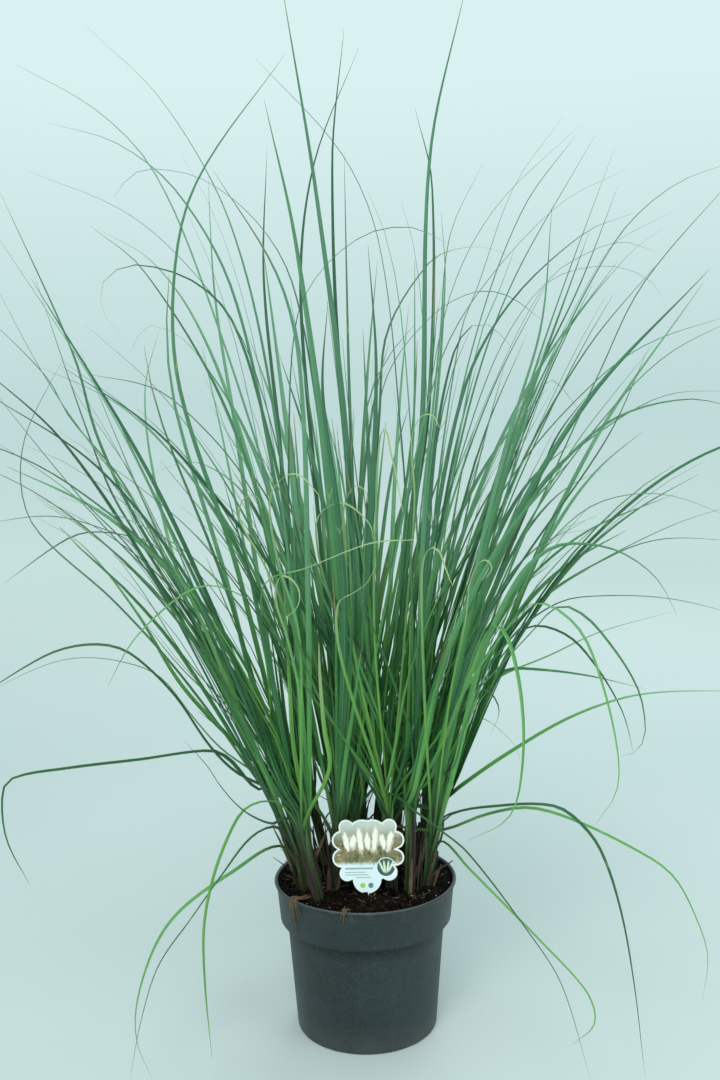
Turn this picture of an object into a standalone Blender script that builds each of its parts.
"""A potted pampas grass: a nursery pot, its soil, a plant label and a clump of grass shoots.

Metres, +Z up. The origin is the middle of the pot's foot, and the plant is seen from -Y.
"""
import math
import random
from collections import namedtuple
from itertools import combinations

import bmesh
import bpy
import numpy as np
from mathutils import Matrix, Vector
from mathutils.geometry import interpolate_bezier

# Pot: an ordinary 7.5 litre nursery container
POT_HEIGHT = 0.219
RIM_RADIUS = 0.131
COLLAR_HEIGHT = 0.058
COLLAR_FOOT_RADIUS = 0.1232
BODY_TOP_RADIUS = 0.1136
FOOT_RADIUS = 0.1015
WALL = 0.002
LIP_BEAD = 0.0026
FOOT_RIM = 0.012
FLOOR_RISE = 0.005
POT_SEGMENTS = 32
DRAIN_HOLES = 8
DRAIN_RADIUS = 0.006
DRAIN_CIRCLE = 0.068

# Soil
SOIL_BELOW_LIP = 0.011
SOIL_MOUND = 0.012
POCKET_DEPTH = 0.013
FIT_GAP = 0.0003

# Label
LABEL_THICKNESS = 0.0008
LABEL_CENTRE = Vector((0.0045, -0.092, 0.2835))
LABEL_TILT = math.radians(8.0)
LABEL_OUTLINE_POINTS = 64
STAKE_WIDTH = 0.007
STAKE_FOOT = 0.165
# each lobe of the scalloped card: sideways, up, radius
LABEL_LOBES = (
    (-0.008, 0.030, 0.0200), (0.006, 0.030, 0.0200), (0.029, 0.040, 0.0105), (0.0370, 0.0215, 0.0125),
    (0.0375, -0.002, 0.0115), (0.028, -0.022, 0.0115), (-0.002, -0.031, 0.0195), (-0.029, -0.023, 0.0105),
    (-0.036, -0.002, 0.0130), (-0.0365, 0.022, 0.0130), (-0.030, 0.040, 0.0100), (0.0, 0.0, 0.036),
)

# Shoots: how many stand in each ring, and the ring's radius
SHOOT_RINGS = ((1, 0.0), (6, 0.036), (9, 0.068), (13, 0.097))
SHEATH_RADIUS = 0.0060
SHEATH_LENGTH = (0.095, 0.150)
LEAVES_PER_SHOOT = 6
LABEL_CLEARANCE = 0.060
FEET_APART = 0.021

# Leaves. REACH: how far they spread from the middle, sideways and front to back
REACH = (0.600, 0.465)
LEAF_THICKNESS = 0.0018
SWAY_POWER = 1.3
LINE_STEPS = 10
TURN_PER_RING = math.radians(25.0)
FLARE_HEIGHT = 0.035
FLARE = 2.8
FAN_STEP = 0.0032
TWIST_PER_RING = math.radians(14.0)
SHORTEST_STEP = 0.022
SPACE_BETWEEN = 0.0012
SPREADING_ROUNDS = 400

# Where the photograph was taken from, for reading places off it: pixels of the 720 x 1080 frame
PHOTO_CENTRE = (360.0, 540.0)
PHOTO_FOCUS = 1200.0
VIEWPOINT = Vector((0.0, -1.665, 0.91))
VIEW_PITCH = math.radians(6.95)
VIEW_ROLL = math.radians(0.9)

# A leaf read off the photograph. route: pixels that its midrib passes, from low on the blade to
# its tip. toward: how far the tip comes towards the viewer, in metres. width: at its widest.
Leaf = namedtuple("Leaf", "toward width route")

TOP_LEFT_LEAVES = (
    Leaf(0.08, 0.0084, ((278, 515), (241, 406), (200, 278), (161, 184), (117, 129), (69, 91), (17, 65))),
    Leaf(-0.10, 0.0068, ((284, 500), (262, 344), (239, 250), (202, 163), (142, 76), (85, 25))),
    Leaf(-0.22, 0.0060, ((274, 486), (246, 344), (230, 287), (191, 211), (147, 163), (92, 132), (49, 123))),
    Leaf(0.15, 0.0060, ((283, 470), (248, 353), (218, 303), (161, 239), (99, 197), (25, 170))),
    Leaf(0.26, 0.0060, ((229, 540), (187, 417), (174, 360), (173, 287), (188, 202), (225, 133), (285, 54))),
    Leaf(0.20, 0.0052, ((266, 430), (232, 321), (191, 280), (138, 265), (106, 278), (102, 310), (119, 332))),
    Leaf(-0.16, 0.0084, ((263, 508), (237, 424), (213, 358), (191, 314), (149, 259), (101, 231))),
    Leaf(0.24, 0.0076, ((272, 540), (231, 421), (199, 360), (174, 319), (138, 264), (90, 226))),
    Leaf(-0.05, 0.0076, ((150, 545), (119, 492), (92, 423), (75, 360), (54, 315), (27, 255), (0, 192))),
    Leaf(-0.14, 0.0068, ((140, 540), (103, 477), (78, 394), (63, 354), (34, 275))),
    Leaf(0.09, 0.0084, ((165, 550), (124, 492), (75, 423), (47, 381), (18, 326), (-12, 272))),
    Leaf(0.02, 0.0076, ((158, 545), (110, 465), (69, 417), (46, 377), (0, 330), (-22, 308))),
    Leaf(0.30, 0.0044, ((245, 430), (220, 385), (181, 337), (151, 326), (136, 334), (131, 351))),
    Leaf(-0.32, 0.0060, ((318, 420), (296, 296), (266, 234), (218, 188), (174, 171), (135, 173), (114, 197))),
    Leaf(-0.38, 0.0060, ((283, 480), (269, 360), (262, 218), (267, 147))),
    Leaf(-0.42, 0.0060, ((235, 430), (217, 315), (211, 243), (208, 177))),
    Leaf(0.40, 0.0060, ((305, 420), (285, 296), (257, 239), (213, 170))),
    Leaf(-0.28, 0.0084, ((300, 580), (285, 417), (271, 306), (262, 240))),
    Leaf(-0.36, 0.0052, ((200, 640), (168, 540), (145, 417), (149, 360), (159, 330))),
)
LEFT_LEAVES = (
    Leaf(0.16, 0.0084, ((160, 590), (115, 532), (83, 501), (49, 460), (0, 398), (-22, 372))),
    Leaf(-0.12, 0.0068, ((150, 575), (115, 540), (87, 508), (46, 474), (0, 443), (-30, 425))),
    Leaf(0.05, 0.0068, ((165, 600), (128, 540), (95, 488), (55, 433), (0, 384), (-26, 361))),
    Leaf(0.22, 0.0084, (
        (200, 700), (147, 632), (86, 579), (54, 551), (28, 516), (20, 469), (34, 408), (62, 361))),
    Leaf(-0.18, 0.0052, ((165, 590), (128, 541), (97, 528), (63, 518), (34, 516), (-14, 523))),
    Leaf(-0.04, 0.0068, ((185, 690), (161, 655), (135, 611), (115, 582), (77, 541), (34, 516))),
    Leaf(-0.26, 0.0052, ((190, 610), (160, 551), (126, 535), (98, 532), (74, 536), (34, 560), (3, 584))),
    Leaf(0.12, 0.0076, ((225, 765), (180, 704), (161, 681), (126, 652), (96, 645), (52, 653), (-26, 699))),
    Leaf(0.00, 0.0052, ((215, 745), (165, 682), (142, 668), (110, 660), (80, 658), (46, 665), (-18, 695))),
    Leaf(0.34, 0.0052, ((305, 690), (260, 610), (212, 586), (180, 597), (143, 629), (115, 668), (107, 688))),
    Leaf(0.20, 0.0068, ((290, 590), (249, 540), (206, 482), (161, 436), (120, 402), (60, 365))),
    Leaf(-0.20, 0.0060, ((280, 545), (253, 494), (220, 446), (180, 407), (150, 387), (87, 374))),
    Leaf(0.32, 0.0060, ((240, 590), (190, 530), (155, 500), (126, 476), (95, 453), (58, 430))),
    Leaf(-0.34, 0.0052, ((275, 550), (245, 495), (207, 466), (180, 463), (150, 475))),
    Leaf(0.18, 0.0090, ((230, 700), (195, 604), (155, 530), (130, 470), (80, 350))),
    Leaf(-0.10, 0.0090, ((245, 690), (209, 610), (165, 520), (130, 440), (108, 400))),
)
LOW_LEFT_LEAVES = (
    Leaf(0.14, 0.0092, (
        (252, 790), (224, 756), (205, 752), (109, 765), (14, 778), (2, 800), (10, 850), (30, 885))),
    Leaf(0.24, 0.0060, ((302, 814), (271, 801), (252, 805), (233, 828), (208, 899), (204, 960), (212, 1059))),
    Leaf(0.30, 0.0084, ((290, 840), (269, 826), (242, 850), (201, 906), (155, 974), (130, 1078))),
    Leaf(0.26, 0.0076, (
        (295, 856), (279, 846), (242, 867), (174, 918), (143, 979), (136, 1035), (152, 1078))),
    Leaf(0.20, 0.0060, ((270, 825), (233, 802), (206, 765), (185, 742))),
)
TOP_LEAVES = (
    Leaf(-0.20, 0.0068, ((412, 620), (412, 544), (401, 440), (390, 310), (374, 227), (337, 147), (256, 59))),
    Leaf(0.24, 0.0090, ((331, 540), (313, 400), (301, 298), (289, 202), (264, 99))),
    Leaf(0.10, 0.0080, ((354, 540), (343, 417), (336, 360), (325, 250), (310, 165), (292, 80), (281, -20))),
    Leaf(-0.22, 0.0068, ((318, 500), (305, 390), (301, 283), (306, 214), (318, 150), (359, 47))),
    Leaf(0.02, 0.0076, ((356, 520), (345, 430), (339, 360), (332, 184), (335, 95), (344, 28))),
    Leaf(-0.40, 0.0052, ((352, 500), (349, 400), (346, 275), (344, 150))),
    Leaf(0.42, 0.0076, ((345, 600), (335, 486), (325, 417), (322, 360), (328, 300))),
    Leaf(0.16, 0.0084, ((410, 540), (423, 463), (422, 321), (427, 207), (433, 129), (445, 60), (466, -14))),
    Leaf(-0.16, 0.0084, ((405, 560), (424, 469), (432, 360), (435, 252), (430, 165), (415, 108))),
    Leaf(0.34, 0.0068, ((425, 480), (440, 344), (447, 248), (468, 193), (483, 163))),
    Leaf(-0.34, 0.0068, ((430, 470), (441, 340), (445, 275), (441, 211))),
    Leaf(0.28, 0.0084, ((366, 560), (373, 463), (376, 360), (374, 298), (368, 245))),
    Leaf(-0.30, 0.0068, ((370, 520), (383, 389), (398, 358), (431, 317), (472, 293), (509, 296), (541, 319))),
    Leaf(0.36, 0.0052, ((290, 440), (297, 320), (331, 259), (378, 230), (422, 229), (446, 243))),
    Leaf(-0.36, 0.0052, ((380, 430), (385, 340), (424, 269), (447, 252), (472, 247), (498, 250), (521, 264))),
    Leaf(0.44, 0.0052, ((432, 480), (446, 380), (463, 335), (479, 323), (498, 331), (511, 347))),
    Leaf(-0.10, 0.0068, ((436, 500), (461, 333), (475, 296), (498, 223), (530, 158), (563, 117))),
    Leaf(0.14, 0.0068, ((420, 470), (440, 330), (484, 225), (530, 170), (579, 126))),
    Leaf(-0.24, 0.0084, ((434, 540), (452, 452), (470, 360), (498, 269), (532, 193), (576, 135))),
    Leaf(0.20, 0.0084, ((447, 540), (463, 446), (483, 360), (518, 271), (553, 202), (595, 135))),
)
TOP_RIGHT_LEAVES = (
    Leaf(-0.30, 0.0076, ((485, 540), (520, 420), (544, 344), (569, 273), (590, 213), (615, 147))),
    Leaf(0.30, 0.0060, ((420, 450), (445, 350), (470, 305), (525, 236), (578, 191), (627, 169))),
    Leaf(0.10, 0.0090, ((492, 520), (523, 440), (553, 358), (610, 250), (652, 202), (700, 171), (745, 158))),
    Leaf(-0.12, 0.0084, ((500, 600), (548, 484), (571, 443), (597, 380), (619, 326), (658, 264), (745, 165))),
    Leaf(-0.26, 0.0052, ((520, 430), (565, 330), (609, 249), (649, 224), (672, 212))),
    Leaf(0.26, 0.0068, ((445, 465), (475, 360), (502, 314), (551, 259), (603, 222), (635, 213))),
    Leaf(-0.18, 0.0060, ((505, 460), (555, 353), (583, 310), (635, 248), (663, 228))),
    Leaf(0.22, 0.0044, ((480, 400), (516, 319), (555, 278), (603, 266), (631, 271), (652, 282), (663, 298))),
    Leaf(-0.34, 0.0044, ((500, 370), (545, 285), (567, 266), (596, 249), (622, 242), (656, 252))),
    Leaf(-0.04, 0.0076, ((484, 525), (518, 469), (566, 415), (603, 375), (652, 342), (698, 324), (735, 314))),
    Leaf(0.12, 0.0090, ((489, 612), (525, 530), (567, 470), (603, 420), (661, 360), (720, 326), (750, 312))),
    Leaf(0.32, 0.0076, ((500, 470), (534, 360), (546, 298), (550, 250), (552, 207))),
    Leaf(-0.30, 0.0084, ((515, 430), (548, 346), (578, 289), (597, 251), (618, 186))),
    Leaf(0.20, 0.0068, ((505, 590), (546, 525), (583, 471), (613, 428), (634, 383), (650, 344))),
    Leaf(-0.20, 0.0076, ((500, 620), (549, 540), (580, 490), (620, 448), (642, 432))),
    Leaf(0.36, 0.0044, ((505, 500), (535, 400), (550, 380), (563, 381), (573, 392), (580, 412))),
    Leaf(-0.36, 0.0076, ((505, 560), (540, 478), (555, 440), (580, 404), (596, 385))),
)
RIGHT_LEAVES = (
    Leaf(-0.08, 0.0076, ((505, 545), (544, 482), (590, 440), (635, 410), (672, 394), (735, 391))),
    Leaf(0.10, 0.0076, ((500, 560), (540, 487), (569, 456), (609, 422), (643, 408), (695, 399), (738, 408))),
    Leaf(0.18, 0.0090, ((495, 640), (541, 551), (585, 511), (610, 499), (650, 494), (690, 500), (742, 522))),
    Leaf(-0.06, 0.0084, ((460, 700), (521, 619), (573, 578), (635, 546), (693, 516), (745, 502))),
    Leaf(0.04, 0.0060, ((475, 690), (530, 610), (580, 575), (635, 545), (665, 539), (693, 536), (738, 541))),
    Leaf(0.30, 0.0068, ((480, 660), (515, 585), (532, 562), (562, 545), (612, 549), (656, 578), (678, 617))),
    Leaf(0.14, 0.0084, ((455, 720), (516, 635), (562, 602), (619, 596), (686, 601), (745, 616))),
    Leaf(-0.24, 0.0076, ((435, 760), (489, 685), (532, 665), (567, 647), (601, 632), (671, 612))),
    Leaf(0.32, 0.0060, ((440, 730), (500, 640), (540, 603), (576, 626), (601, 681), (619, 780), (595, 825))),
    Leaf(0.22, 0.0068, ((450, 715), (525, 640), (563, 607), (614, 649), (643, 705), (641, 746), (621, 756))),
    Leaf(-0.14, 0.0052, ((470, 700), (525, 630), (545, 626), (578, 644), (606, 683), (626, 720), (634, 755))),
    Leaf(0.40, 0.0060, (
        (445, 740), (480, 650), (500, 622), (509, 640), (522, 705), (522, 768), (510, 816), (467, 841))),
    Leaf(-0.16, 0.0068, ((445, 735), (500, 674), (530, 669), (567, 673), (608, 679), (646, 689))),
    Leaf(0.16, 0.0098, ((438, 812), (471, 782), (515, 751), (571, 718), (608, 704), (642, 694), (748, 691))),
    Leaf(0.38, 0.0044, ((455, 770), (470, 710), (486, 690), (497, 700), (499, 714), (491, 734))),
    Leaf(-0.38, 0.0044, ((440, 790), (462, 735), (479, 719), (496, 727), (515, 746), (520, 760))),
)
LOW_RIGHT_LEAVES = (
    Leaf(0.46, 0.0086, ((362, 800), (376, 784), (433, 826), (467, 853), (530, 935), (561, 984), (590, 1078))),
    Leaf(0.44, 0.0052, (
        (430, 850), (462, 862), (520, 921), (578, 981), (593, 1005), (593, 1027), (573, 1044))),
    Leaf(0.24, 0.0064, ((436, 822), (470, 812), (520, 805), (562, 810), (600, 850), (627, 942), (645, 1078))),
    Leaf(0.12, 0.0052, ((428, 831), (515, 808), (568, 818), (641, 853), (675, 879), (707, 952), (702, 1001))),
)
TRACED_LEAVES = (
    TOP_LEFT_LEAVES + LEFT_LEAVES + LOW_LEFT_LEAVES + TOP_LEAVES
    + TOP_RIGHT_LEAVES + RIGHT_LEAVES + LOW_RIGHT_LEAVES
)


def view_axes():
    """The photograph's right, up and ahead directions."""
    ahead = Vector((0.0, math.cos(VIEW_PITCH), -math.sin(VIEW_PITCH)))
    level = Vector((1.0, 0.0, 0.0))
    upright = level.cross(ahead)
    right = level * math.cos(VIEW_ROLL) - upright * math.sin(VIEW_ROLL)
    up = level * math.sin(VIEW_ROLL) + upright * math.cos(VIEW_ROLL)
    return right, up, ahead


VIEW_RIGHT, VIEW_UP, VIEW_AHEAD = view_axes()


def photo_point(pixel, depth):
    """The place at y = depth that this pixel of the photograph shows."""
    sideways = (pixel[0] - PHOTO_CENTRE[0]) / PHOTO_FOCUS
    upwards = (PHOTO_CENTRE[1] - pixel[1]) / PHOTO_FOCUS
    ray = VIEW_RIGHT * sideways + VIEW_UP * upwards + VIEW_AHEAD
    return VIEWPOINT + ray * ((depth - VIEWPOINT.y) / ray.y)


def soil_height(radius):
    """The soil's surface, a little higher in the middle than at the wall."""
    inner = RIM_RADIUS - WALL
    return POT_HEIGHT - SOIL_BELOW_LIP + SOIL_MOUND * (1.0 - (radius / inner) ** 2)


def shoot_feet():
    """Where each shoot stands on the soil: rings around the middle, clear of the label."""
    rng = random.Random(7)
    feet = []
    for ring, (count, radius) in enumerate(SHOOT_RINGS):
        for place in range(count):
            angle = 2.0 * math.pi * (place + 0.5 * ring) / count - math.pi / 2.0
            angle += rng.uniform(-0.25, 0.25) * 0.03 / max(radius, 0.03)
            out = radius * rng.uniform(0.96, 1.04)
            foot = Vector((out * math.cos(angle), out * math.sin(angle), 0.0))
            if foot.y > LABEL_CENTRE.y + 0.034 or abs(foot.x - LABEL_CENTRE.x) > LABEL_CLEARANCE - 0.012:
                feet.append(foot)
    for _ in range(60):
        for first, second in combinations(feet, 2):
            gap = first - second
            if gap.length < FEET_APART:
                push = 0.5 * (FEET_APART - gap.length) * gap.normalized()
                first += push
                second -= push
        for foot in feet:
            aside = foot.x - LABEL_CENTRE.x
            if foot.y < LABEL_CENTRE.y + 0.034 and abs(aside) < LABEL_CLEARANCE:
                if foot.y > LABEL_CENTRE.y + 0.018:
                    foot.y += 0.002
                else:
                    foot.x += math.copysign(0.002, aside)
            if foot.length > SHOOT_RINGS[-1][1]:
                foot *= SHOOT_RINGS[-1][1] / foot.length
    for foot in feet:
        foot.z = soil_height(foot.xy.length)
    return feet


def traced_route(leaf, foot):
    """A traced leaf's points in space. It leaves the foot's depth and ends at the tip's."""
    lengths = [0.0]
    start = photo_point(leaf.route[0], foot.y) - foot
    lengths[0] = start.length
    scale = (photo_point(leaf.route[1], 0.0) - photo_point(leaf.route[0], 0.0)).length
    scale /= math.dist(leaf.route[1], leaf.route[0])
    for before, pixel in zip(leaf.route, leaf.route[1:]):
        lengths.append(lengths[-1] + scale * math.dist(before, pixel))
    route = []
    for pixel, length in zip(leaf.route, lengths):
        share = (length / lengths[-1]) ** SWAY_POWER
        route.append(photo_point(pixel, foot.y + (-leaf.toward - foot.y) * share))
    past = abs(route[-1].x) - REACH[0]
    if past > 0.0:
        route[-1] = route[-1].lerp(route[-2], past / abs(route[-1].x - route[-2].x))
    return route


def wanted_foot(leaf):
    """The place on the soil that a traced leaf seems to grow from."""
    low, high = leaf.route[0], leaf.route[1]
    low_point = photo_point(low, 0.0)
    high_point = photo_point(high, 0.0)
    rise = high_point.z - low_point.z
    lean = (high_point.x - low_point.x) / rise if rise > 0.03 else 0.6 * math.copysign(1.0, low_point.x)
    drop = low_point.z - POT_HEIGHT
    side = low_point.x - 0.62 * lean * drop
    limit = SHOOT_RINGS[-1][1]
    side = max(-limit, min(limit, side))
    room = math.sqrt(limit * limit - side * side)
    return Vector((side, max(-room, min(room, -0.30 * leaf.toward)), 0.0))


def grown_route(foot, rng):
    """A leaf that the photograph doesn't single out: it rises from its shoot and arches out."""
    outward = math.atan2(foot.y, foot.x) + rng.uniform(-0.9, 0.9)
    if math.hypot(foot.x, foot.y) < 0.01:
        outward = rng.uniform(-math.pi, math.pi)
    length = rng.uniform(0.62, 1.02)
    lean = math.radians(rng.uniform(3.0, 9.0)) + 1.6 * math.hypot(foot.x, foot.y)
    arch = math.radians(rng.uniform(10.0, 62.0))
    steps = 5
    point = foot.copy()
    route = []
    for step in range(1, steps + 1):
        slope = lean + arch * (step / steps) ** 2
        level = Vector((math.cos(outward), math.sin(outward), 0.0))
        ahead = level * math.sin(slope) + Vector((0.0, 0.0, math.cos(slope)))
        point = point + ahead * (length / steps)
        route.append(point.copy())
    out = point - foot
    fit = min(1.0, (REACH[0] - abs(foot.x)) / abs(out.x), (REACH[1] - abs(foot.y)) / abs(out.y))
    stretch = Vector((fit, fit, 1.0))
    return [foot + (place - foot) * stretch for place in route]


def share_out_leaves():
    """Give each traced leaf a shoot near where it seems to grow, then fill every shoot up."""
    feet = shoot_feet()
    places = [number for number in range(len(feet)) for _ in range(LEAVES_PER_SHOOT - 1)]
    wanted = [wanted_foot(leaf) for leaf in TRACED_LEAVES] + [None] * (len(places) - len(TRACED_LEAVES))

    def cost(leaf, place):
        return (feet[places[place]] - wanted[leaf]).xy.length_squared if wanted[leaf] else 0.0

    order = list(range(len(places)))
    better = True
    while better:
        better = False
        for first, second in combinations(range(len(places)), 2):
            now = cost(order[first], first) + cost(order[second], second)
            if cost(order[first], second) + cost(order[second], first) < now - 1e-9:
                order[first], order[second] = order[second], order[first]
                better = True
    shoots = [[] for _ in feet]
    for place, leaf in enumerate(order):
        if wanted[leaf]:
            foot = feet[places[place]]
            shoots[places[place]].append((TRACED_LEAVES[leaf].width, traced_route(TRACED_LEAVES[leaf], foot)))
    rng = random.Random(23)
    for number, foot in enumerate(feet):
        target = LEAVES_PER_SHOOT + (0 if number % 4 else 1)
        while len(shoots[number]) < target:
            shoots[number].append((rng.uniform(0.0058, 0.0088), grown_route(foot, rng)))
    return feet, shoots


def smooth_line(lead, points):
    """Points along a smooth curve through the given ones, as it would come in from lead."""
    line = []
    last = len(points) - 1
    for number in range(last):
        start, end = points[number], points[number + 1]
        before = points[number - 1] if number else lead
        after = points[min(number + 2, last)]
        reach = (end - start).length / 3.0
        leave = start + (end - before).normalized() * reach
        arrive = end - (after - start).normalized() * reach
        line += interpolate_bezier(start, leave, arrive, end, LINE_STEPS)[:-1]
    line.append(points[-1].copy())
    return line


def ring_places(line):
    """Pick the rings of a leaf: evenly by length, and closer together where it bends."""
    lengths = [0.0]
    turns = [0.0, 0.0]
    for number in range(1, len(line)):
        lengths.append(lengths[-1] + (line[number] - line[number - 1]).length)
    for number in range(2, len(line)):
        old = line[number - 1] - line[number - 2]
        new = line[number] - line[number - 1]
        turns.append(turns[-1] + old.angle(new, 0.0))
    rings = max(3, min(10, round(2.3 + turns[-1] / TURN_PER_RING)))
    most_turn = max(turns[-1], 0.01)
    marks = [0.5 * length / lengths[-1] + 0.5 * turn / most_turn for length, turn in zip(lengths, turns)]
    marks = [mark / marks[-1] for mark in marks]
    chosen = []
    for ring in range(1, rings):
        number = min(range(1, len(line)), key=lambda place: abs(marks[place] - ring / rings))
        clear = lengths[number] - (lengths[chosen[-1]] if chosen else 0.0)
        if clear > SHORTEST_STEP and lengths[-1] - lengths[number] > SHORTEST_STEP:
            chosen.append(number)
    chosen.append(len(line) - 1)
    return [(line[number].copy(), lengths[number] / lengths[-1]) for number in chosen]


def blade_width(share):
    """A blade's width along its length, as a share of the widest."""
    if share < 0.3:
        return 0.62 + 0.38 * math.sin(0.5 * math.pi * share / 0.3)
    return 0.04 + 0.96 * max(0.0, math.cos(0.5 * math.pi * (share - 0.3) / 0.7)) ** 0.85


def shoot_axes(feet, shoots):
    """The foot and top of each shoot's sheath. Tops that would touch are leant apart."""
    rng = random.Random(5)
    roots = []
    tops = []
    for foot, leaves in zip(feet, shoots):
        aims = [(route[0] - foot).normalized() for _, route in leaves]
        lean = (sum(aims, Vector()) + Vector((0.0, 0.0, 1.4))).normalized()
        lowest = min(route[0].z for _, route in leaves) - foot.z
        length = min(rng.uniform(*SHEATH_LENGTH), max(0.03, 0.8 * lowest))
        roots.append(foot - lean * (POCKET_DEPTH - FIT_GAP) / lean.z)
        tops.append(foot + lean * length)
    for _ in range(80):
        for first, second in combinations(range(len(tops)), 2):
            gap = tops[first] - tops[second]
            low = roots[first] - roots[second]
            short = 2.0 * SHEATH_RADIUS + 0.008 - gap.xy.length
            if short > 0.0 and abs(gap.z) < 0.12:
                apart = (gap + low).xy.normalized().to_3d()
                tops[first] += apart * 0.5 * short
                tops[second] -= apart * 0.5 * short
        for top in tops:
            behind = LABEL_CENTRE.y + 0.022 - top.y
            if behind > 0.0 and abs(top.x - LABEL_CENTRE.x) < 0.066:
                if behind < 0.02:
                    top.y += 0.3 * behind
                else:
                    top.x += math.copysign(0.003, top.x - LABEL_CENTRE.x)
    return roots, tops


def strip_edges(leaves):
    """Where the lines between a sheath's leaves cross it, from one side to the other."""
    return [-0.9 + 1.8 * step / leaves for step in range(leaves + 1)]


class Blade:
    """One leaf of a shoot: its rings' places, the share of the length at each, and its width."""

    def __init__(self, width, centre, flare, route):
        self.width = width
        while len(route) > 3 and (route[0] - flare).dot(route[1] - route[0]) < 0.0:
            route = route[1:]
        places = ring_places(smooth_line(centre, [flare] + route))
        self.points = [centre, flare] + [place for place, _ in places]
        self.shares = [0.0, 0.0] + [share for _, share in places]


def grow_shoots():
    """Every shoot's foot, the top of its sheath, the way its leaves fan out, and its blades."""
    feet, shoots = share_out_leaves()
    grown = []
    for root, top, leaves in zip(*shoot_axes(feet, shoots), shoots):
        ahead = (top - root).normalized()
        aims = [(route[1] - top).normalized() for _, route in leaves]
        spread, widest = Vector((1.0, 0.0, 0.0)), 0.0
        for turn in range(12):
            angle = math.pi * turn / 12.0
            way = Vector((math.cos(angle), math.sin(angle), 0.0))
            along = sorted(aim.dot(way) for aim in aims)
            wide = min(after - before for before, after in zip(along, along[1:]))
            wide += 0.2 * (along[-1] - along[0])
            if wide > widest:
                spread, widest = way, wide
        spread = (spread - ahead * spread.dot(ahead)).normalized()
        leaves = sorted(leaves, key=lambda leaf: (leaf[1][1] - top).normalized().dot(spread))
        edges = strip_edges(len(leaves))
        blades = []
        for (width, route), low, high in zip(leaves, edges, edges[1:]):
            aside = spread * SHEATH_RADIUS * 0.5 * (low + high)
            blades.append(Blade(width, top + aside, top + ahead * FLARE_HEIGHT + aside * FLARE, route))
        grown.append((root, top, spread, blades))
    return grown


def nearest_places(first, second, third, fourth):
    """How far along each of two lines of points their nearest places are, pair by pair."""
    one = second - first
    two = fourth - third
    apart = first - third
    a = np.einsum("ij,ij->i", one, one)
    e = np.einsum("ij,ij->i", two, two)
    b = np.einsum("ij,ij->i", one, two)
    c = np.einsum("ij,ij->i", one, apart)
    f = np.einsum("ij,ij->i", two, apart)
    spare = np.maximum(a * e - b * b, 1e-12)
    s = np.clip((b * f - c * e) / spare, 0.0, 1.0)
    t = (b * s + f) / e
    s = np.where(t < 0.0, np.clip(-c / a, 0.0, 1.0), np.where(t > 1.0, np.clip((b - c) / a, 0.0, 1.0), s))
    return s, np.clip(t, 0.0, 1.0)


def standing_things():
    """Lines that the leaves keep clear of: the label's card and the pot's rim."""
    lines = []
    for row in range(-3, 4):
        height = LABEL_CENTRE + Vector((0.0, math.sin(LABEL_TILT), 1.0)) * 0.017 * row
        lines.append((height - Vector((0.050, 0.0, 0.0)), height + Vector((0.050, 0.0, 0.0)), 0.009))
    for number in range(24):
        turn = [2.0 * math.pi * (number + step) / 24.0 for step in (0, 1)]
        ends = [Vector((0.128 * math.cos(angle), 0.128 * math.sin(angle), 0.215)) for angle in turn]
        lines.append((ends[0], ends[1], 0.006))
    return lines


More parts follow.
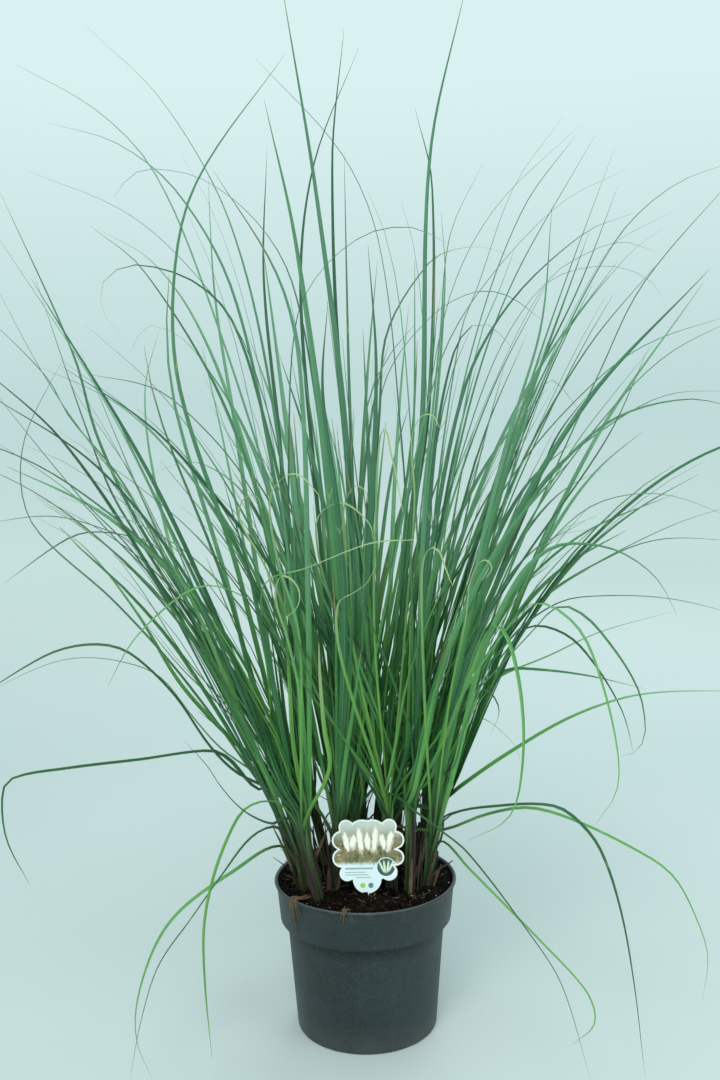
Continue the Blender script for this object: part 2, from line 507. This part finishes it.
def spread_apart(grown):
    """Move the blades apart until none touch. High up they move along the line of sight only."""
    points, radii, roots, lines, chains, neighbours = [], [], [], [], [], []

    def add_line(owner, leaf, line, half_widths):
        base = len(points)
        points.extend(list(point) for point in line)
        radii.extend(half_widths)
        roots.extend([True] + [leaf < 0] * (len(line) - 1))
        lines.extend((owner, leaf, base + step, base + step + 1) for step in range(len(line) - 1))
        return base

    for first, second, radius in standing_things():
        add_line(-1, -1, (first, second), (radius, radius))
    for number, (root, top, spread, blades) in enumerate(grown):
        add_line(number, -1, (root, top), (SHEATH_RADIUS, SHEATH_RADIUS))
        for leaf, blade in enumerate(blades):
            halves = [0.5 * blade.width * blade_width(share) + 0.0007 for share in blade.shares]
            chains.append((blade, add_line(number, leaf, blade.points, [SHEATH_RADIUS] + halves[1:])))
            if leaf:
                neighbours.append((chains[-2][1] + 1, chains[-1][1] + 1, *spread))
    where, radius = np.array(points), np.array(radii)
    owner, leaf, start, end = np.array(lines).T
    free = ~np.array(roots)
    every, other = np.triu_indices(len(owner), 1)
    related = owner[every] == owner[other]
    joined = (leaf[every] < 0) | (leaf[other] < 0) | (
        (leaf[every] == leaf[other]) & (np.abs(start[every] - start[other]) < 2))
    every, other = every[~related | ~joined], other[~related | ~joined]
    close_radius = np.where(free, radius, 0.0001)
    neighbours = np.array(neighbours)
    lower, upper = neighbours[:, 0].astype(int), neighbours[:, 1].astype(int)
    fan = neighbours[:, 2:]
    eye = np.array(VIEWPOINT)
    before = np.arange(len(where)) - 1
    after = np.minimum(np.arange(len(where)) + 1, len(where) - 1)
    ties = np.zeros(len(where), dtype=bool)
    ties[end] = True
    for turn in range(SPREADING_ROUNDS):
        if turn % 25 == 0:
            middle = 0.5 * (where[start] + where[end])
            reach = 0.5 * np.linalg.norm(where[end] - where[start], axis=1)
            near = np.linalg.norm(middle[every] - middle[other], axis=1) < reach[every] + reach[other] + 0.04
            one, two = every[near], other[near]
            same = owner[one] == owner[two]
        s, t = nearest_places(where[start[one]], where[end[one]], where[start[two]], where[end[two]])
        here = where[start[one]] * (1 - s)[:, None] + where[end[one]] * s[:, None]
        there = where[start[two]] * (1 - t)[:, None] + where[end[two]] * t[:, None]
        need = np.full(len(one), SPACE_BETWEEN)
        for chosen, along in ((one, s), (two, t)):
            low_end = np.where(same, close_radius[start[chosen]], radius[start[chosen]])
            need += low_end * (1.0 - along) + radius[end[chosen]] * along
        gap = here - there
        distance = np.maximum(np.linalg.norm(gap, axis=1), 1e-6)
        close = distance < need
        if not close.any():
            break
        gap, distance, need = gap[close], distance[close], need[close]
        low = np.clip((0.75 - here[close][:, 2]) / 0.25, 0.12, 1.0)[:, None]
        round_push = gap * ((need - distance) / distance)[:, None]
        depth = np.sqrt(np.maximum(need ** 2 - gap[:, 0] ** 2 - gap[:, 2] ** 2, 0.0))
        inwards = (depth - np.abs(gap[:, 1])) * np.where(gap[:, 1] >= 0.0, 1.0, -1.0)
        sight = here[close] - eye
        depth_push = sight * (inwards / sight[:, 1])[:, None]
        push = 0.5 * (low * round_push + (1.0 - low) * np.clip(depth_push, -0.006, 0.006))
        move = np.zeros_like(where)
        for chosen, along, way in ((one[close], s[close], 1.0), (two[close], t[close], -1.0)):
            np.add.at(move, start[chosen], way * push * (1.0 - along)[:, None])
            np.add.at(move, end[chosen], way * push * along[:, None])
        move = np.clip(move, -0.006, 0.006)
        joined_before = np.where((ties & free)[:, None], move[before], move)
        joined_after = np.where((ties[after] & free)[:, None], move[after], move)
        move = 0.7 * move + 0.15 * (joined_before + joined_after)
        where = where + np.where(free[:, None], move, 0.0)
        order = FAN_STEP - np.einsum("ij,ij->i", where[upper] - where[lower], fan)
        shift = 0.5 * np.maximum(order, 0.0)[:, None] * fan
        np.add.at(where, lower, -shift)
        np.add.at(where, upper, shift)
    for blade, base in chains:
        blade.points = [Vector(where[base + step]) for step in range(len(blade.points))]
    return grown


def placed(centre, ahead, across, wide, thick):
    """A matrix that puts a round profile at a centre, square to ahead, at a width and thickness."""
    ahead = ahead.normalized()
    side = (across - ahead * across.dot(ahead)).normalized()
    face = ahead.cross(side)
    place = Matrix((side * wide, face * thick, ahead)).transposed().to_4x4()
    place.translation = centre
    return place


def extruded(shape, end, move):
    """Extrude one face of a solid and move the new face. Gives the new face."""
    grown = bmesh.ops.extrude_face_region(shape, geom=[end])["geom"]
    fresh = [item for item in grown if isinstance(item, bmesh.types.BMFace)][0]
    if end.is_valid:
        bmesh.ops.delete(shape, geom=[end], context="FACES_ONLY")
    bmesh.ops.transform(shape, matrix=move, verts=fresh.verts)
    return fresh


def swept(name, sides, places):
    """A closed solid: a profile extruded from place to place."""
    shape = bmesh.new()
    bmesh.ops.create_circle(shape, cap_ends=True, radius=1.0, segments=sides)
    bmesh.ops.transform(shape, matrix=places[0], verts=shape.verts)
    end = bmesh.ops.extrude_face_region(shape, geom=list(shape.faces))["geom"]
    end = [item for item in end if isinstance(item, bmesh.types.BMFace)][0]
    bmesh.ops.transform(shape, matrix=places[1] @ places[0].inverted(), verts=end.verts)
    for before, place in zip(places[1:], places[2:]):
        end = extruded(shape, end, place @ before.inverted())
    bmesh.ops.recalc_face_normals(shape, faces=shape.faces)
    mesh = bpy.data.meshes.new(name)
    shape.to_mesh(mesh)
    shape.free()
    return bpy.data.objects.new(name, mesh)


def material(name, colour, roughness, metallic=0.0):
    """A plain surface finish."""
    finish = bpy.data.materials.new(name)
    finish.use_nodes = True
    surface = finish.node_tree.nodes["Principled BSDF"]
    surface.inputs["Base Color"].default_value = (*colour, 1.0)
    surface.inputs["Roughness"].default_value = roughness
    surface.inputs["Metallic"].default_value = metallic
    return finish


def collection(name):
    """A new collection in the scene."""
    group = bpy.data.collections.new(name)
    bpy.context.scene.collection.children.link(group)
    return group


def cutter(item, group):
    """Keep an object as a tool for Booleans only."""
    item.hide_render = True
    item.display_type = "WIRE"
    group.objects.link(item)
    return item


def boolean(item, operation, tools, name):
    """Join or cut an object with everything in a collection."""
    step = item.modifiers.new(name, "BOOLEAN")
    step.operation = operation
    step.operand_type = "COLLECTION"
    step.collection = tools
    step.solver = "EXACT"


def turned(name, profile, segments):
    """A solid of revolution from a profile that runs from the axis out and back to it."""
    shape = bmesh.new()
    verts = [shape.verts.new((radius, 0.0, height)) for radius, height in profile]
    for first, second in zip(verts, verts[1:]):
        shape.edges.new((first, second))
    mesh = bpy.data.meshes.new(name)
    shape.to_mesh(mesh)
    shape.free()
    item = bpy.data.objects.new(name, mesh)
    screw = item.modifiers.new("turn", "SCREW")
    screw.steps = segments
    screw.render_steps = segments
    screw.use_merge_vertices = True
    screw.merge_threshold = 0.0001
    screw.use_smooth_shade = True
    return item


def inner_radius(height):
    """The inside radius of the pot's wall at a height, for the soil to follow."""
    collar_foot = POT_HEIGHT - COLLAR_HEIGHT
    if height > collar_foot:
        share = (height - collar_foot) / COLLAR_HEIGHT
        return COLLAR_FOOT_RADIUS + (RIM_RADIUS - LIP_BEAD - COLLAR_FOOT_RADIUS) * share - WALL
    share = height / collar_foot
    return FOOT_RADIUS + (BODY_TOP_RADIUS - FOOT_RADIUS) * share - WALL


def make_pot(parts, cutters):
    """The container: a tapered body, a wide collar with a rolled lip, and a raised floor."""
    step_height = POT_HEIGHT - COLLAR_HEIGHT
    lip = RIM_RADIUS - LIP_BEAD
    profile = [
        (0.0, FLOOR_RISE + WALL),
        (inner_radius(FLOOR_RISE + WALL), FLOOR_RISE + WALL),
        (inner_radius(step_height - WALL), step_height - WALL),
        (inner_radius(step_height + WALL), step_height + WALL),
        (lip - WALL, POT_HEIGHT - 0.6 * LIP_BEAD),
        (lip - 0.5 * WALL, POT_HEIGHT),
        (RIM_RADIUS - 0.35 * LIP_BEAD, POT_HEIGHT - 0.05 * LIP_BEAD),
        (RIM_RADIUS, POT_HEIGHT - 0.8 * LIP_BEAD),
        (RIM_RADIUS - 0.3 * LIP_BEAD, POT_HEIGHT - 1.8 * LIP_BEAD),
        (lip, POT_HEIGHT - 2.0 * LIP_BEAD),
        (COLLAR_FOOT_RADIUS, step_height + 0.0012),
        (COLLAR_FOOT_RADIUS - 0.0015, step_height - 0.0004),
        (BODY_TOP_RADIUS, step_height - 0.0012),
        (FOOT_RADIUS, 0.004),
        (FOOT_RADIUS - 0.003, 0.0),
        (FOOT_RADIUS - FOOT_RIM, 0.0),
        (FOOT_RADIUS - FOOT_RIM - 0.003, FLOOR_RISE),
        (0.0, FLOOR_RISE),
    ]
    pot = turned("pot", profile, POT_SEGMENTS)
    for number in range(DRAIN_HOLES):
        angle = 2.0 * math.pi * (number + 0.5) / DRAIN_HOLES
        centre = Vector((DRAIN_CIRCLE * math.cos(angle), DRAIN_CIRCLE * math.sin(angle), -0.002))
        ahead = Vector((0.0, 0.0, 1.0))
        places = [placed(centre + ahead * rise, ahead, Vector((1.0, 0.0, 0.0)), DRAIN_RADIUS, DRAIN_RADIUS)
                  for rise in (0.0, 0.015)]
        cutter(swept(f"drain_cutter_{number + 1}", 8, places), cutters)
    boolean(pot, "DIFFERENCE", cutters, "drainage holes")
    pot.data.materials.append(material("pot plastic", (0.045, 0.072, 0.078), 0.45))
    parts.objects.link(pot)


def make_soil(parts, cutters):
    """The potting soil: it follows the wall inside and has a pocket for each thing it holds."""
    floor = FLOOR_RISE + WALL + FIT_GAP
    step_height = POT_HEIGHT - COLLAR_HEIGHT
    edge = POT_HEIGHT - SOIL_BELOW_LIP
    profile = [(0.0, soil_height(0.0))]
    profile += [(radius, soil_height(radius)) for radius in (0.045, 0.085)]
    profile += [
        (inner_radius(edge) - FIT_GAP - 0.0003, edge),
        (inner_radius(step_height + WALL) - FIT_GAP - 0.0003, step_height + WALL + FIT_GAP),
        (inner_radius(step_height - WALL) - FIT_GAP - 0.0003, step_height - WALL),
        (inner_radius(floor) - FIT_GAP - 0.0003, floor),
        (0.0, floor),
    ]
    soil = turned("soil", profile, POT_SEGMENTS)
    boolean(soil, "DIFFERENCE", cutters, "pockets")
    soil.data.materials.append(material("potting soil", (0.028, 0.020, 0.014), 0.95))
    parts.objects.link(soil)


def label_outline():
    """The scalloped edge of the card, as far out as the outermost lobe on each ray."""
    outline = []
    for number in range(LABEL_OUTLINE_POINTS):
        angle = 2.0 * math.pi * number / LABEL_OUTLINE_POINTS
        ray = Vector((math.cos(angle), math.sin(angle)))
        reach = 0.0
        for sideways, upwards, radius in LABEL_LOBES:
            centre = Vector((sideways, upwards))
            along = centre.dot(ray)
            aside = abs(centre.x * ray.y - centre.y * ray.x)
            if aside < radius:
                reach = max(reach, along + math.sqrt(radius * radius - aside * aside))
        outline.append(ray * reach)
    return outline


def make_label(parts, tools, soil_cutters):
    """The plant label: a flat card with a scalloped edge, on a stake that goes into the soil."""
    curve = bpy.data.curves.new("label", "CURVE")
    curve.dimensions = "2D"
    curve.fill_mode = "BOTH"
    curve.extrude = 0.5 * LABEL_THICKNESS
    outline = label_outline()
    spline = curve.splines.new("POLY")
    spline.points.add(len(outline) - 1)
    spline.use_cyclic_u = True
    for point, place in zip(spline.points, outline):
        point.co = (place.x, place.y, 0.0, 1.0)
    flat = bpy.data.objects.new("label_curve", curve)
    parts.objects.link(flat)
    flat.matrix_world = Matrix.Translation(LABEL_CENTRE) @ Matrix.Rotation(math.pi / 2.0 - LABEL_TILT, 4, "X")
    bpy.context.view_layer.update()
    mesh = bpy.data.meshes.new_from_object(flat.evaluated_get(bpy.context.evaluated_depsgraph_get()))
    shape = bmesh.new()
    shape.from_mesh(mesh)
    bmesh.ops.remove_doubles(shape, verts=shape.verts, dist=0.00001)
    shape.to_mesh(mesh)
    shape.free()
    label = bpy.data.objects.new("label", mesh)
    label.matrix_world = flat.matrix_world
    bpy.data.objects.remove(flat)
    down = Vector((0.0, -math.sin(LABEL_TILT), -math.cos(LABEL_TILT)))
    reach = (LABEL_CENTRE.z - STAKE_FOOT) / math.cos(LABEL_TILT)
    across = Vector((1.0, 0.0, 0.0))
    stake_half = 0.5 * STAKE_WIDTH * math.sqrt(2.0)
    stake_thick = LABEL_THICKNESS * 0.66
    stake_places = [
        placed(LABEL_CENTRE + down * 0.02, down, across, stake_half, stake_thick),
        placed(LABEL_CENTRE + down * (reach - 0.012), down, across, stake_half, stake_thick),
        placed(LABEL_CENTRE + down * reach, down, across, 0.003, stake_thick),
    ]
    stake = swept("label_stake", 4, [turn_quarter(place) for place in stake_places])
    cutter(stake, tools)
    boolean(label, "UNION", tools, "stake")
    label.data.materials.append(material("label card", (0.80, 0.82, 0.80), 0.35))
    parts.objects.link(label)
    slot_places = [
        placed(LABEL_CENTRE + down * along, down, across, stake_half + 0.0008, stake_thick + 0.0008)
        for along in (0.05, reach + 0.002)
    ]
    cutter(swept("label_slot", 4, [turn_quarter(place) for place in slot_places]), soil_cutters)


def turn_quarter(place):
    """Turn a four-sided profile so that its flat sides face front and back."""
    width = place.col[0].xyz.length
    thick = place.col[1].xyz.length
    side = place.col[0].xyz.normalized()
    face = place.col[1].xyz.normalized()
    squared = Matrix(((side * width + face * thick) / math.sqrt(2.0),
                      (face * thick - side * width) / math.sqrt(2.0),
                      place.col[2].xyz)).transposed().to_4x4()
    squared.translation = place.translation
    return squared


def blade_places(blade, across, rng):
    """Where each ring of a blade lies and how it is turned: across its own plane, then twisted."""
    twist = rng.uniform(-0.6, 0.6)
    wind = rng.uniform(-0.8, 0.8)
    away = blade.points[-1] - blade.points[0]
    level = Vector((-away.y, away.x, 0.0)).normalized()
    last = len(blade.points) - 1
    places = []
    for number in range(1, last + 1):
        point, share = blade.points[number], blade.shares[number]
        ahead = (blade.points[min(number + 1, last)] - blade.points[number - 1]).normalized()
        across = (across - ahead * across.dot(ahead)).normalized()
        half = 0.5 * blade.width * blade_width(share)
        thick = 0.5 * LEAF_THICKNESS * (0.5 + 0.5 * blade_width(share))
        if number == 1:
            places.append(placed(point, ahead, across, half, thick))
            continue
        wanted = (level - ahead * level.dot(ahead)).normalized()
        wanted = Matrix.Rotation(twist + wind * share, 3, ahead) @ wanted
        if wanted.dot(across) < 0.0:
            wanted.negate()
        turn = across.angle(wanted, 0.0)
        if turn > 0.001:
            across = across.slerp(wanted, min(1.0, TWIST_PER_RING / turn))
        places.append(placed(point, ahead, across, half, thick))
    return places


def grow_leaf(shape, strip, base, places, outer):
    """Extrude a leaf from its strip of the sheath: keeled from the first ring, and pointed."""
    end = extruded(shape, strip, places[0] @ base.inverted())
    flat = places[0].inverted()
    keel = [vert for vert in end.verts if (flat @ vert.co).y * outer > 0.0]
    edge = [vert for vert in end.verts if vert not in keel]
    bmesh.ops.pointmerge(shape, verts=keel, merge_co=0.5 * (keel[0].co + keel[1].co))
    shared = [face for face in edge[0].link_faces if edge[1] in face.verts and len(face.verts) == 3]
    end = shared[0]
    for before, place in zip(places, places[1:]):
        end = extruded(shape, end, place @ before.inverted())
    bmesh.ops.pointmerge(shape, verts=end.verts, merge_co=places[-1].translation)


def make_shoots(parts, soil_cutters):
    """Each shoot: a sheath that stands in its pocket, and leaves that grow out of its top."""
    grown = spread_apart(grow_shoots())
    rng = random.Random(41)
    green = material("pampas leaf", (0.060, 0.190, 0.075), 0.45)
    for number, (root, top, spread, blades) in enumerate(grown, start=1):
        ahead = (top - root).normalized()
        across = ahead.cross(spread)
        name = f"shoot_{number:02d}"
        shape = bmesh.new()
        edges = strip_edges(len(blades))
        bmesh.ops.create_grid(shape, x_segments=len(blades), y_segments=1, size=edges[-1])
        for vert in shape.verts:
            half = math.copysign(math.sqrt(1.0 - vert.co.x * vert.co.x), vert.co.y)
            vert.co = top + (spread * vert.co.x + across * half) * SHEATH_RADIUS
        strips = sorted(shape.faces, key=lambda face: face.calc_center_median().dot(spread))
        foot = bmesh.ops.extrude_face_region(shape, geom=strips)["geom"]
        foot = [item for item in foot if isinstance(item, bmesh.types.BMVert)]
        cap = placed(top, ahead, spread, 1.0, 1.0)
        bmesh.ops.transform(shape, matrix=placed(root, ahead, spread, 0.9, 0.9) @ cap.inverted(), verts=foot)
        for blade, strip, low, high in zip(blades, strips, edges, edges[1:]):
            half = 0.5 * SHEATH_RADIUS * (math.sqrt(1.0 - low * low) + math.sqrt(1.0 - high * high))
            deep = 0.5 * SHEATH_RADIUS * (high - low)
            base = placed(blade.points[0], ahead, across, half, deep)
            outer = -1.0 if low + high > 0.0 else 1.0
            grow_leaf(shape, strip, base, blade_places(blade, across, rng), outer)
        bmesh.ops.recalc_face_normals(shape, faces=shape.faces)
        mesh = bpy.data.meshes.new(name)
        shape.to_mesh(mesh)
        shape.free()
        shoot = bpy.data.objects.new(name, mesh)
        shoot.data.materials.append(green)
        parts.objects.link(shoot)
        pocket = (SHEATH_RADIUS + 0.0004) / math.cos(math.pi / 6.0)
        pocket_places = [placed(spot, ahead, spread, pocket, pocket)
                         for spot in (root - ahead * FIT_GAP, root + ahead * 2.0 * POCKET_DEPTH)]
        cutter(swept(f"{name}_pocket", 6, pocket_places), soil_cutters)


def main():
    """Build the whole object."""
    for item in list(bpy.data.objects):
        bpy.data.objects.remove(item)
    parts = collection("potted_pampas_grass")
    pot_cutters = collection("pot_cutters")
    label_tools = collection("label_tools")
    soil_cutters = collection("soil_cutters")
    make_pot(parts, pot_cutters)
    make_label(parts, label_tools, soil_cutters)
    make_shoots(parts, soil_cutters)
    make_soil(parts, soil_cutters)


main()
